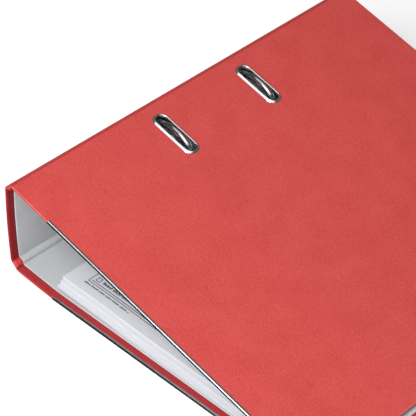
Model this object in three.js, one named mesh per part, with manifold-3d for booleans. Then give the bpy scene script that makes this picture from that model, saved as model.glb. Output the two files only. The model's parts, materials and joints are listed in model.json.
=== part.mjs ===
// A4 lever arch file, lying closed on its back cover. Millimetres, +Z up.
// X runs from the spine (-X) to the fore edge (+X), Y from the bottom edge (-Y) to the top edge (+Y).
// The origin is the centre of the bounding box, at the underside of the back cover.
import * as THREE from 'three';
import { mergeVertices } from 'three/addons/utils/BufferGeometryUtils.js';
import Module from 'manifold-3d';

const wasm = await Module();
wasm.setup();

// ---------- driving dimensions ----------
// Case. Inside this file x is measured from the spine's outer face and y from the bottom edge.
const CASE_HEIGHT = 322;
const BACK_REACH = 286;
const COVER_WIDTH = 280;
const COVER_SLOPE = THREE.MathUtils.degToRad(14.4);
const BOARD = 2.2;
const LINING_GAP = 0.1;
const LINING = 0.3;
const LINING_INSET = 6;
const JOINT_GAP = 0.3;
const CLEAR = 0.3;

// Outer skin of the case: the folds that it bends at, and the bend near the spine in the back cover.
const BACK_BEND = [40, 0];
const REAR_FOLD_BACK = [5.9, 2.9];
const REAR_FOLD_SPINE = [0, 8.8];
const FRONT_FOLD_SPINE = [0, 72.2];
const FRONT_FOLD_COVER = [6.8, 76.8];

// Edge rails: U-shaped steel strips over the bottom edges of both covers.
const RAIL_LIPS = { outer: 2.2, inner: 1.5 };
const RAIL_SHEET = 0.3;
const RAIL_FRONT_SPAN = [36, 270];
const RAIL_BACK_SPAN = [41.5, 276];

// Two rings on the standard 80 mm spacing, centred on the height.
const RING_SPACING = 80;
const RING_YS = [(CASE_HEIGHT - RING_SPACING) / 2, (CASE_HEIGHT + RING_SPACING) / 2];
const MID_Y = CASE_HEIGHT / 2;

// Slot eyelets in the front cover.
const SLOT_FROM_FOLD = 29.7;
const SLOT_STRAIGHT = 28.2;
const SLOT_HALF_OPENING = 4;
const SLOT_TUBE_RADIUS = 4.5;
const SLOT_RIM_RADIUS = 6.4;
const SLOT_RIM_HEIGHT = 0.9;
const SLOT_SEGMENTS = 20;
const NIB = { width: 4.6, reach: 1.2, depth: 1.6 };

// Finger ring and label on the spine.
const FINGER_Y = 76;
const FINGER_HOLE_RADIUS = 12;
const FINGER_TUBE_RADIUS = 12.6;
const FINGER_RIM_RADIUS = 16.5;
const FINGER_RIM_PROUD = 0.9;
const FINGER_BACK_RADIUS = 15.2;
const FINGER_SEGMENTS = 32;
const LABEL = { width: 56, height: 190, bottom: 113, thickness: 0.2, gap: 0.05 };

// Mechanism.
const PLATE_GAP = 0.1;
const PLATE = 1;
const PLATE_SPAN = [9.5, 66];
const PLATE_HALF_LENGTH = 64;
const POST_X = 50.5;
const POST_RADIUS = 2.25;
const POST_TOP = 58.5;
const POST_FOOT_RADIUS = 2.7;
const POST_FOOT_HEIGHT = 1;
const WIRE_RADIUS = 2.25;
const WIRE_AXIS = [12.5, 10];
const WIRE_SIDES = 10;
const ARCH_SPRING_Z = 58;
const ARCH_RISE = 14.2;
const ARCH_STEPS = 14;
const WIRE_STEPS = 110;
const WIRE_CORNER = 5;
const TIP_GAP = 0.5;
const EAR = { offset: 30, thickness: 1.4, radius: 4.2, hole: 2.6 };
const LEVER_PIVOT = [31, 12.6];
const LEVER_REST_ANGLE = THREE.MathUtils.degToRad(118);
const LEVER_HALF_WIDTH = 11.5;
const LEVER_SHEET = 1.1;
const LEVER_WEB = { start: 5, end: 42, offset: -3.4 };
const LEVER_CURL_RADIUS = 4;
const LEVER_CHEEK = [[-3.4, -3.4], [30, -3.4], [30, -0.8], [9.5, 10.2], [2.6, 10.4], [-3.4, 3.4]];
const LUG = { offset: 8.6, thickness: 1.4, radius: 3.8, hole: 1.75 };
const PIN_RADIUS = 1.5;
const PIN_HEAD_RADIUS = 2.4;
const PIN_HEAD = 0.9;
const ROLLER_SEAT = [4.7, 7.7];
const ROLLER_RADIUS = 2.2;
const ROLLER_BORE = 1.3;
const ROLLER_HALF_LENGTH = 7;
const ROLLER_PIN_RADIUS = 1;
const CRANK = { halfLength: 9.5, reach: 12, thickness: 1, sleeve: 3.4, bore: 2.55 };
const LEAF = { halfWidth: 5, thickness: 0.5 };
const RIVET = { radius: 1.6, hole: 1.85, headRadius: 3.4, head: 0.45, backRadius: 3.6, back: 0.6 };
const RIVET_XS = [23, 61];
const RIVET_Y_OFFSET = 56;

// Papers: A4 blocks of sheets, threaded on the posts, each a little out of line with the next.
// Beyond the base plate they sink to the back cover's lining.
const SHEET_WIDTH = 210;
const SHEET_HEIGHT = 297;
const STACK_BOTTOM = 4.3;
const BLOCK_THICKNESS = 2.38;
const BLOCK_GAP = 0.05;
const SHEET_DROP = { start: 68, end: 120, depth: 1.55, steps: 8 };
const PUNCH_RADIUS = 3;
const BLOCK_CORNERS = [[39.2, 7.4], [39.4, 9.9], [39.4, 12.3]];

const CENTRE_X = (BACK_REACH - FINGER_RIM_PROUD) / 2;

// ---------- materials ----------
const RED_PAPER = { color: 0xc93a34, roughness: 0.75, metalness: 0 };
const GREY_PAPER = { color: 0xb4b6b8, roughness: 0.85, metalness: 0 };
const NICKEL = { color: 0xd2d4d6, roughness: 0.2, metalness: 1 };
const STEEL = { color: 0xa9acb0, roughness: 0.35, metalness: 1 };
const WHITE_PAPER = { color: 0xe9e9ee, roughness: 0.9, metalness: 0 };

function piece(name, geometry, finish) {
  const mesh = new THREE.Mesh(geometry, new THREE.MeshStandardMaterial(finish));
  mesh.name = name;
  return mesh;
}

// ---------- solid helpers ----------
function toSolid(geometry) {
  const bare = geometry.clone();
  bare.deleteAttribute('normal');
  bare.deleteAttribute('uv');
  const merged = mergeVertices(bare, 1e-4);
  return new wasm.Manifold(new wasm.Mesh({
    numProp: 3,
    vertProperties: new Float32Array(merged.attributes.position.array),
    triVerts: new Uint32Array(merged.index.array),
  }));
}

function toGeometry(solid) {
  const mesh = solid.getMesh();
  const geometry = new THREE.BufferGeometry();
  geometry.setAttribute('position', new THREE.BufferAttribute(mesh.vertProperties, 3));
  geometry.setIndex(new THREE.BufferAttribute(mesh.triVerts, 1));
  geometry.computeVertexNormals();
  return geometry;
}

const cutAway = (geometry, cutters) =>
  toGeometry(cutters.reduce((solid, cutter) => solid.subtract(toSolid(cutter)), toSolid(geometry)));

const joinUp = (geometries) =>
  toGeometry(geometries.slice(1).reduce((solid, extra) => solid.add(toSolid(extra)), toSolid(geometries[0])));

function box(low, high) {
  const size = high.map((value, i) => value - low[i]);
  const centre = high.map((value, i) => (value + low[i]) / 2);
  return new THREE.BoxGeometry(...size).translate(...centre);
}

// An outline given as [x, z] points, made into a solid from y = low to y = high.
function alongY(outline, low, high, holes = []) {
  const shape = new THREE.Shape(outline.map(([x, z]) => new THREE.Vector2(x, z)));
  shape.holes = holes;
  const geometry = new THREE.ExtrudeGeometry(shape, {
    depth: high - low,
    bevelEnabled: false,
    curveSegments: 12,
  });
  return geometry.rotateX(Math.PI / 2).translate(0, high, 0);
}

function roundHole([x, z], radius) {
  return new THREE.Path().absarc(x, z, radius, 0, 2 * Math.PI, true);
}

// A straight bar or pin along Y, from one [x, z] point.
function barY([x, z], radius, low, high, sides = 20) {
  const bar = new THREE.CylinderGeometry(radius, radius, high - low, sides);
  return bar.translate(x, (low + high) / 2, z);
}

function barZ(x, y, radius, low, high, sides = 20) {
  const bar = new THREE.CylinderGeometry(radius, radius, high - low, sides).rotateX(Math.PI / 2);
  return bar.translate(x, y, (low + high) / 2);
}

// A closed [radius, height] profile turned about Z; stretch pulls the two halves apart along X,
// which turns a round ring into one with straight sides.
function ringZ(profile, segments, stretch = 0) {
  const points = [...profile, profile[0]].map(([radius, height]) => new THREE.Vector2(radius, height));
  const ring = new THREE.LatheGeometry(points, segments, Math.PI / segments).rotateX(Math.PI / 2);
  const position = ring.attributes.position;
  for (let i = 0; i < position.count; i += 1) {
    position.setX(i, position.getX(i) + Math.sign(position.getX(i)) * stretch / 2);
  }
  return ring;
}

function slotCutter(radius) {
  const cutter = new THREE.Shape();
  const half = SLOT_STRAIGHT / 2;
  cutter.absarc(half, 0, radius, -Math.PI / 2, Math.PI / 2, false);
  cutter.absarc(-half, 0, radius, Math.PI / 2, 1.5 * Math.PI, false);
  const depth = 4 * BOARD;
  return new THREE.ExtrudeGeometry(cutter, { depth, bevelEnabled: false }).translate(0, 0, -depth / 2);
}

// ---------- the case's outer skin ----------
// Going from the back cover's fore edge round the spine to the front cover, the inside is on the right.
const FRONT_FORE = [
  FRONT_FOLD_COVER[0] + COVER_WIDTH * Math.cos(COVER_SLOPE),
  FRONT_FOLD_COVER[1] - COVER_WIDTH * Math.sin(COVER_SLOPE),
];
const SKIN = [
  [BACK_REACH, 0], BACK_BEND, REAR_FOLD_BACK, REAR_FOLD_SPINE, FRONT_FOLD_SPINE, FRONT_FOLD_COVER, FRONT_FORE,
];
const REAR_STRIP = 2;
const SPINE = 3;
const FRONT_STRIP = 4;
const FRONT = 5;

function run(i) {
  const [ax, az] = SKIN[i];
  const [bx, bz] = SKIN[i + 1];
  return { length: Math.hypot(bx - ax, bz - az), angle: Math.atan2(bz - az, bx - ax) };
}

// Half of the turn between two neighbouring runs, as the slope of their mitre.
const mitre = (i) => Math.tan((run(i - 1).angle - run(i).angle) / 2);

// Skin point i moved inwards by depth, along the mitre of the two runs that meet there.
function inwards(i, depth) {
  const after = run(Math.min(i, SKIN.length - 2));
  const slide = i === 0 || i === SKIN.length - 1 ? 0 : depth * mitre(i);
  const [x, z] = SKIN[i];
  const across = after.angle - Math.PI / 2;
  return [
    x + depth * Math.cos(across) + slide * Math.cos(after.angle),
    z + depth * Math.sin(across) + slide * Math.sin(after.angle),
  ];
}

// The flat panel on run i in its own frame: x along the run, z outwards, mitred at folded ends.
function panelOutline(i, outer, inner, foldedEnd = true) {
  const { length } = run(i);
  const start = (depth) => depth * mitre(i) + JOINT_GAP / 2;
  const end = (depth) => length - (foldedEnd ? depth * mitre(i + 1) + JOINT_GAP / 2 : 0);
  return [[start(outer), -outer], [end(outer), -outer], [end(inner), -inner], [start(inner), -inner]];
}

function panelFrame(i) {
  const frame = new THREE.Group();
  frame.position.set(SKIN[i][0], 0, SKIN[i][1]);
  frame.rotation.y = -run(i).angle;
  return frame;
}

// A band that follows the back cover from its fore end to its spine end, between two depths.
function backBand(outer, inner, foreX, spineX) {
  const bend = [inwards(1, outer), inwards(1, inner)];
  const hinge = [inwards(2, outer), inwards(2, inner)];
  const at = (k, x) => {
    const [bx, bz] = bend[k];
    const [hx, hz] = hinge[k];
    return [x, bz + (hz - bz) * (bx - x) / (bx - hx)];
  };
  return [[foreX, outer], bend[0], at(0, spineX), at(1, spineX), bend[1], [foreX, inner]];
}

// Height of that band's face over x, at one depth from the skin.
const backLevel = (x, depth) => (x < BACK_BEND[0] ? backBand(depth, depth, BACK_REACH, x)[2][1] : depth);

// ---------- boards and linings ----------
const LINING_OUTER = BOARD + LINING_GAP;
const LINING_INNER = LINING_OUTER + LINING;
const RIVET_YS = [MID_Y - RIVET_Y_OFFSET, MID_Y + RIVET_Y_OFFSET];
const RIVET_CUT = { low: -5, high: 15 };
const rivetHoles = () =>
  RIVET_XS.flatMap((x) => RIVET_YS.map((y) => barZ(x, y, RIVET.hole, RIVET_CUT.low, RIVET_CUT.high, 16)));
const widen = ([low, high]) => [low - CLEAR, high + CLEAR];

// The bottom edge is pinched thinner where a rail grips it, so that the rail lies flush. The board
// lies between z = low and z = low + BOARD, and the rail's lips on those two faces may be unequal.
function railSeat([start, end], low, [lowLip, highLip]) {
  const skin = RAIL_SHEET + LINING_GAP;
  const high = low + BOARD;
  return [
    box([start, -1, low - 1], [end, skin, high + 1]),
    box([start, -1, low - 1], [end, lowLip + CLEAR, low + skin]),
    box([start, -1, high - skin], [end, highLip + CLEAR, high + 1]),
  ];
}

function backBoard() {
  const [hx, hz] = REAR_FOLD_BACK;
  const toBend = run(1);
  const trim = JOINT_GAP / 2;
  const outer = [hx - trim * Math.cos(toBend.angle), hz - trim * Math.sin(toBend.angle)];
  const [ix, iz] = inwards(2, BOARD);
  const inner = [ix - trim * Math.cos(toBend.angle), iz - trim * Math.sin(toBend.angle)];
  const outline = [[BACK_REACH, 0], BACK_BEND, outer, inner, inwards(1, BOARD), [BACK_REACH, BOARD]];
  const headRadius = RIVET.backRadius + CLEAR;
  const headTop = (x) => backLevel(x, 0) + RIVET.back + CLEAR;
  const headPocket = (x, y) => barZ(x, y, headRadius, RIVET_CUT.low, headTop(x), 16);
  const heads = RIVET_XS.flatMap((x) => RIVET_YS.map((y) => headPocket(x, y)));
  const seat = railSeat(widen(RAIL_BACK_SPAN), 0, [RAIL_LIPS.outer, RAIL_LIPS.inner]);
  return cutAway(alongY(outline, 0, CASE_HEIGHT), [...seat, ...rivetHoles(), ...heads]);
}

function backLining() {
  const outline = backBand(LINING_OUTER, LINING_INNER, BACK_REACH - LINING_INSET, REAR_FOLD_BACK[0] + BOARD);
  return cutAway(alongY(outline, LINING_INSET, CASE_HEIGHT - LINING_INSET), rivetHoles());
}

function panelBoard(i) {
  return alongY(panelOutline(i, 0, BOARD), 0, CASE_HEIGHT);
}

function panelLining(i) {
  return alongY(panelOutline(i, LINING_OUTER, LINING_INNER), LINING_INSET, CASE_HEIGHT - LINING_INSET);
}

const slotPlaces = (geometry) => RING_YS.map((y) => geometry.clone().translate(SLOT_FROM_FOLD, y, 0));

function frontBoard() {
  const blank = alongY(panelOutline(FRONT, 0, BOARD, false), 0, CASE_HEIGHT);
  const slots = slotPlaces(slotCutter(SLOT_TUBE_RADIUS + CLEAR / 2));
  const seat = railSeat(widen(RAIL_FRONT_SPAN), -BOARD, [RAIL_LIPS.inner, RAIL_LIPS.outer]);
  return cutAway(blank, [...slots, ...seat]);
}

function frontLining() {
  const outline = panelOutline(FRONT, LINING_OUTER, LINING_INNER, false);
  outline[1][0] -= LINING_INSET;
  outline[2][0] -= LINING_INSET;
  const sheet = alongY(outline, LINING_INSET, CASE_HEIGHT - LINING_INSET);
  return cutAway(sheet, slotPlaces(slotCutter(SLOT_TUBE_RADIUS + CLEAR / 2)));
}

// U-shaped strip: x along the edge, its mouth facing +Y, its faces at z = low and z = low + BOARD.
function rail([start, end], low, [lowLip, highLip]) {
  const high = low + BOARD;
  const walls = [
    box([start, 0, low], [end, RAIL_SHEET, high]),
    box([start, 0, low], [end, lowLip, low + RAIL_SHEET]),
    box([start, 0, high - RAIL_SHEET], [end, highLip, high]),
  ];
  return joinUp(walls);
}

// ---------- eyelets, finger ring, label ----------
function slotEyelet() {
  const under = -LINING_INNER - LINING_GAP;
  const profile = [
    [SLOT_HALF_OPENING, under - 0.3],
    [SLOT_TUBE_RADIUS + 1, under - 0.3],
    [SLOT_TUBE_RADIUS + 1, under],
    [SLOT_TUBE_RADIUS, under],
    [SLOT_TUBE_RADIUS, LINING_GAP],
    [SLOT_RIM_RADIUS, LINING_GAP],
    [SLOT_RIM_RADIUS - 0.2, SLOT_RIM_HEIGHT * 0.55],
    [SLOT_RIM_RADIUS - 0.9, SLOT_RIM_HEIGHT],
    [SLOT_TUBE_RADIUS, SLOT_RIM_HEIGHT],
    [SLOT_HALF_OPENING, SLOT_RIM_HEIGHT * 0.4],
  ];
  const ring = ringZ(profile, SLOT_SEGMENTS, SLOT_STRAIGHT);
  // A small nib on one long side presses on the arch and keeps the cover shut.
  const nibBack = -SLOT_HALF_OPENING - (SLOT_TUBE_RADIUS - SLOT_HALF_OPENING) / 2;
  const nib = box(
    [-NIB.width / 2, nibBack, -NIB.depth],
    [NIB.width / 2, -SLOT_HALF_OPENING + NIB.reach, SLOT_RIM_HEIGHT * 0.3],
  );
  return joinUp([ring, nib]);
}

function fingerRing() {
  const under = -LINING_INNER - LINING_GAP;
  const profile = [
    [FINGER_HOLE_RADIUS, under - 0.4],
    [FINGER_BACK_RADIUS, under - 0.4],
    [FINGER_BACK_RADIUS, under],
    [FINGER_TUBE_RADIUS, under],
    [FINGER_TUBE_RADIUS, LINING_GAP],
    [FINGER_RIM_RADIUS, LINING_GAP],
    [FINGER_RIM_RADIUS - 0.4, FINGER_RIM_PROUD * 0.6],
    [FINGER_RIM_RADIUS - 1.4, FINGER_RIM_PROUD],
    [FINGER_TUBE_RADIUS + 0.4, FINGER_RIM_PROUD],
    [FINGER_HOLE_RADIUS, FINGER_RIM_PROUD * 0.5],
  ];
  return ringZ(profile, FINGER_SEGMENTS);
}

const SPINE_MID = run(SPINE).length / 2;
const fingerHole = () =>
  [barZ(SPINE_MID, FINGER_Y, FINGER_TUBE_RADIUS + CLEAR / 2, -4 * BOARD, 4 * BOARD, FINGER_SEGMENTS)];

function spineLabel() {
  return box(
    [SPINE_MID - LABEL.width / 2, LABEL.bottom, LABEL.gap],
    [SPINE_MID + LABEL.width / 2, LABEL.bottom + LABEL.height, LABEL.gap + LABEL.thickness],
  );
}

// ---------- mechanism ----------
const PLATE_UNDER = LINING_INNER + PLATE_GAP;
const PLATE_OVER = PLATE_UNDER + PLATE;
const plateTop = (x) => backLevel(x, PLATE_OVER);

// An ear standing on the plate, pierced for a pin or for the wire.
function ear([x, z], radius, hole, low, high) {
  const arc = new THREE.Path().absarc(x, z, radius, 0, Math.PI, false).getPoints(10);
  const foot = plateTop(x) - PLATE / 2;
  const outline = [...arc.map((p) => [p.x, p.y]), [x - radius, foot], [x + radius, foot]];
  return alongY(outline, low, high, [roundHole([x, z], hole)]);
}

function basePlate() {
  const outline = backBand(PLATE_UNDER, PLATE_OVER, PLATE_SPAN[1], PLATE_SPAN[0]);
  const plate = alongY(outline, MID_Y - PLATE_HALF_LENGTH, MID_Y + PLATE_HALF_LENGTH);
  const wireEars = [-1, 1].map((side) => {
    const y = MID_Y + side * EAR.offset;
    return ear(WIRE_AXIS, EAR.radius, EAR.hole, y - EAR.thickness / 2, y + EAR.thickness / 2);
  });
  const leverLugs = [-1, 1].map((side) => {
    const y = MID_Y + side * LUG.offset;
    return ear(LEVER_PIVOT, LUG.radius, LUG.hole, y - LUG.thickness / 2, y + LUG.thickness / 2);
  });
  return cutAway(joinUp([plate, ...wireEars, ...leverLugs]), rivetHoles());
}

function post(y) {
  const foot = PLATE_OVER + LINING_GAP;
  const profile = [
    [0, foot],
    [POST_FOOT_RADIUS, foot],
    [POST_FOOT_RADIUS, foot + POST_FOOT_HEIGHT / 2],
    [POST_RADIUS, foot + POST_FOOT_HEIGHT],
    [POST_RADIUS, POST_TOP],
    [0, POST_TOP],
  ].map(([radius, height]) => new THREE.Vector2(radius, height));
  return new THREE.LatheGeometry(profile, 16).rotateX(Math.PI / 2).translate(POST_X, y, 0);
}

// One wire makes both arches: down from the first tip, along the axis, up and over to the second tip.
function archWire() {
  const [ax, az] = WIRE_AXIS;
  const halfSpan = (POST_X - ax) / 2;
  const at = (x, y, z) => new THREE.Vector3(x, y, z);
  const halfRoute = (y, inward) => {
    const points = [at(POST_X, y, POST_TOP + TIP_GAP)];
    for (let i = 1; i <= ARCH_STEPS; i += 1) {
      const turn = Math.PI * i / ARCH_STEPS;
      points.push(at(ax + halfSpan * (1 + Math.cos(turn)), y, ARCH_SPRING_Z + ARCH_RISE * Math.sin(turn)));
    }
    points.push(at(ax, y, (ARCH_SPRING_Z + az) / 2), at(ax, y, az + WIRE_CORNER));
    points.push(at(ax, y + inward * WIRE_CORNER * 0.3, az + WIRE_CORNER * 0.3));
    points.push(at(ax, y + inward * WIRE_CORNER, az));
    return points;
  };
  const [low, high] = RING_YS;
  const middle = [at(ax, low + 2 * WIRE_CORNER, az), at(ax, MID_Y, az), at(ax, high - 2 * WIRE_CORNER, az)];
  const points = [...halfRoute(low, 1), ...middle, ...halfRoute(high, -1).reverse()];
  const route = new THREE.CatmullRomCurve3(points, false, 'centripetal');
  const section = new THREE.Shape(Array.from({ length: WIRE_SIDES }, (_, i) => {
    const turn = 2 * Math.PI * i / WIRE_SIDES;
    return new THREE.Vector2(WIRE_RADIUS * Math.cos(turn), WIRE_RADIUS * Math.sin(turn));
  }));
  return new THREE.ExtrudeGeometry(section, { steps: WIRE_STEPS, extrudePath: route, bevelEnabled: false });
}

// The tongue that the lever's roller holds down: rolled round the wire and reaching under the roller.
function crankTongue() {
  const low = MID_Y - CRANK.halfLength;
  const high = MID_Y + CRANK.halfLength;
  const [ax, az] = WIRE_AXIS;
  const sleeve = alongY(circleOutline(WIRE_AXIS, CRANK.sleeve), low, high);
  const tongue = box([ax, low, az - CRANK.thickness / 2], [ax + CRANK.reach, high, az + CRANK.thickness / 2]);
  return cutAway(joinUp([sleeve, tongue]), [barY(WIRE_AXIS, CRANK.bore, low - 1, high + 1)]);
}

function circleOutline([x, z], radius, count = 20) {
  return Array.from({ length: count }, (_, i) => {
    const turn = 2 * Math.PI * i / count;
    return [x + radius * Math.cos(turn), z + radius * Math.sin(turn)];
  });
}

// A bent strip in side view: the outline of a path given thickness on both sides.
function stripOutline(path, thickness) {
  const side = (sign) => path.map(([x, z], i) => {
    const [px, pz] = path[Math.max(i - 1, 0)];
    const [nx, nz] = path[Math.min(i + 1, path.length - 1)];
    const length = Math.hypot(nx - px, nz - pz);
    const shift = sign * thickness / 2 / length;
    return [x - (nz - pz) * shift, z + (nx - px) * shift];
  });
  return [...side(1), ...side(-1).reverse()];
}

// The lever in its own frame: x along the arm from the pivot, y across, z towards the roller.
function lever() {
  const holes = [
    roundHole([0, 0], PIN_RADIUS + CLEAR / 2),
    roundHole(ROLLER_SEAT, ROLLER_PIN_RADIUS + CLEAR / 2),
  ];
  const cheeks = [-1, 1].map((side) => {
    const outer = side * LEVER_HALF_WIDTH;
    const inner = side * (LEVER_HALF_WIDTH - LEVER_SHEET);
    return alongY(LEVER_CHEEK, Math.min(outer, inner), Math.max(outer, inner), holes);
  });
  const curl = Array.from({ length: 15 }, (_, i) => {
    const turn = -Math.PI / 2 + 1.55 * Math.PI * i / 14;
    return [
      LEVER_WEB.end + LEVER_CURL_RADIUS * Math.cos(turn),
      LEVER_WEB.offset + LEVER_CURL_RADIUS * (1 + Math.sin(turn)),
    ];
  });
  const web = stripOutline([[LEVER_WEB.start, LEVER_WEB.offset], ...curl], LEVER_SHEET);
  return joinUp([...cheeks, alongY(web, -LEVER_HALF_WIDTH, LEVER_HALF_WIDTH)]);
}

// A pin along Y with a head at each end.
function headedPin(radius, headRadius, head, halfLength) {
  const profile = [
    [0, -halfLength - head],
    [headRadius, -halfLength - head],
    [headRadius, -halfLength],
    [radius, -halfLength],
    [radius, halfLength],
    [headRadius, halfLength],
    [headRadius, halfLength + head],
    [0, halfLength + head],
  ].map(([r, y]) => new THREE.Vector2(r, y));
  return new THREE.LatheGeometry(profile, 16);
}

function roller() {
  const profile = [
    [ROLLER_BORE, -ROLLER_HALF_LENGTH],
    [ROLLER_RADIUS, -ROLLER_HALF_LENGTH],
    [ROLLER_RADIUS, ROLLER_HALF_LENGTH],
    [ROLLER_BORE, ROLLER_HALF_LENGTH],
    [ROLLER_BORE, -ROLLER_HALF_LENGTH],
  ].map(([r, y]) => new THREE.Vector2(r, y));
  return new THREE.LatheGeometry(profile, 20);
}

// Leaf spring: lies on the plate under the papers' side and presses the crank tongue up.
function leafSpring() {
  const rest = (x) => plateTop(x) + LEAF.thickness / 2 + 0.1;
  const path = [[35.5, rest(35.5)], [29, rest(29)], [25.5, rest(25.5) + 0.3], [20.5, 8.9]];
  return alongY(stripOutline(path, LEAF.thickness), MID_Y - LEAF.halfWidth, MID_Y + LEAF.halfWidth);
}

// A rivet through plate, lining and board, with a low head on the plate and one under the board.
function rivet(x) {
  const top = Math.max(plateTop(x - RIVET.headRadius), plateTop(x + RIVET.headRadius)) + 0.05;
  const under = backLevel(x, 0);
  const profile = [
    [0, under + 0.05],
    [RIVET.backRadius, under + 0.05],
    [RIVET.backRadius, under + RIVET.back],
    [RIVET.radius, under + RIVET.back],
    [RIVET.radius, top],
    [RIVET.headRadius, top],
    [RIVET.headRadius * 0.6, top + RIVET.head],
    [0, top + RIVET.head],
  ].map(([r, z]) => new THREE.Vector2(r, z));
  return new THREE.LatheGeometry(profile, 16).rotateX(Math.PI / 2);
}

// ---------- papers ----------
function sheetDrop(x) {
  const { start, end, depth } = SHEET_DROP;
  return -depth * THREE.MathUtils.smoothstep(x, start, end);
}

function paperBlock([x, y], level) {
  const base = STACK_BOTTOM + level * (BLOCK_THICKNESS + BLOCK_GAP);
  const top = base + BLOCK_THICKNESS;
  const { start, end, steps } = SHEET_DROP;
  const bends = Array.from({ length: steps + 1 }, (_, i) => start + (end - start) * i / steps);
  const columns = [x, ...bends, x + SHEET_WIDTH];
  const under = columns.map((column) => [column, base + sheetDrop(column)]);
  const over = columns.map((column) => [column, top + sheetDrop(column)]).reverse();
  const punches = RING_YS.map((ringY) => barZ(POST_X, ringY, PUNCH_RADIUS, base - 1, top + 1));
  return cutAway(alongY([...under, ...over], y, y + SHEET_HEIGHT), punches);
}

// ---------- assembly ----------
const file = new THREE.Group();
file.position.set(-CENTRE_X, -MID_Y, 0);

const side = ['lower', 'upper'];

file.add(piece('back_cover_board', backBoard(), RED_PAPER));
file.add(piece('back_cover_lining', backLining(), GREY_PAPER));
file.add(piece('back_edge_rail', rail(RAIL_BACK_SPAN, 0, [RAIL_LIPS.outer, RAIL_LIPS.inner]), NICKEL));

[[REAR_STRIP, 'rear_hinge_strip'], [FRONT_STRIP, 'front_hinge_strip']].forEach(([i, name]) => {
  const strip = panelFrame(i);
  strip.add(piece(`${name}_board`, panelBoard(i), RED_PAPER));
  strip.add(piece(`${name}_lining`, panelLining(i), GREY_PAPER));
  file.add(strip);
});

const spine = panelFrame(SPINE);
spine.add(piece('spine_board', cutAway(panelBoard(SPINE), fingerHole()), RED_PAPER));
spine.add(piece('spine_lining', cutAway(panelLining(SPINE), fingerHole()), GREY_PAPER));
const ring = piece('finger_ring', fingerRing(), NICKEL);
ring.position.set(SPINE_MID, FINGER_Y, 0);
spine.add(ring);
spine.add(piece('spine_label', spineLabel(), WHITE_PAPER));
file.add(spine);

const cover = panelFrame(FRONT);
cover.add(piece('front_cover_board', frontBoard(), RED_PAPER));
cover.add(piece('front_cover_lining', frontLining(), GREY_PAPER));
const frontRail = rail(RAIL_FRONT_SPAN, -BOARD, [RAIL_LIPS.inner, RAIL_LIPS.outer]);
cover.add(piece('front_edge_rail', frontRail, NICKEL));
RING_YS.forEach((y, i) => {
  const eyelet = piece(`slot_eyelet_${side[i]}`, slotEyelet(), NICKEL);
  eyelet.position.set(SLOT_FROM_FOLD, y, 0);
  cover.add(eyelet);
});
file.add(cover);

file.add(piece('base_plate', basePlate(), STEEL));
RING_YS.forEach((y, i) => file.add(piece(`post_${side[i]}`, post(y), NICKEL)));
file.add(piece('arch_wire', archWire(), NICKEL));
file.add(piece('crank_tongue', crankTongue(), STEEL));
file.add(piece('leaf_spring', leafSpring(), STEEL));
RIVET_XS.forEach((x, column) => RIVET_YS.forEach((y, row) => {
  const rivetPiece = piece(`rivet_${['spine', 'fore'][column]}_${side[row]}`, rivet(x), STEEL);
  rivetPiece.position.set(x, y, 0);
  file.add(rivetPiece);
}));

const leverFrame = new THREE.Group();
leverFrame.position.set(LEVER_PIVOT[0], MID_Y, LEVER_PIVOT[1]);
leverFrame.rotation.y = -LEVER_REST_ANGLE;
leverFrame.add(piece('lever', lever(), NICKEL));
const leverPin = headedPin(PIN_RADIUS, PIN_HEAD_RADIUS, PIN_HEAD, LEVER_HALF_WIDTH + CLEAR);
leverFrame.add(piece('lever_pin', leverPin, STEEL));
const rollerPin = headedPin(ROLLER_PIN_RADIUS, ROLLER_PIN_RADIUS * 2, PIN_HEAD / 2, LEVER_HALF_WIDTH + CLEAR);
const rollerPlace = new THREE.Group();
rollerPlace.position.set(ROLLER_SEAT[0], 0, ROLLER_SEAT[1]);
rollerPlace.add(piece('roller_pin', rollerPin, STEEL));
rollerPlace.add(piece('lever_roller', roller(), STEEL));
leverFrame.add(rollerPlace);
file.add(leverFrame);

BLOCK_CORNERS.forEach((corner, level) => {
  const place = ['bottom', 'middle', 'top'][level];
  file.add(piece(`paper_block_${place}`, paperBlock(corner, level), WHITE_PAPER));
});

export default file;
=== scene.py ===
"""A4 lever arch file, closed and lying on its back cover: the looks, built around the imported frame.

Sizes are in millimetres in the file's own coordinates: x from the spine's outer face towards the
fore edge, y from the bottom edge, z up. place() turns them into metres in the row frame.
"""
import json
import math
import random

import bmesh
import bpy
from mathutils import Matrix, Vector
from mathutils.geometry import tessellate_polygon


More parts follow.
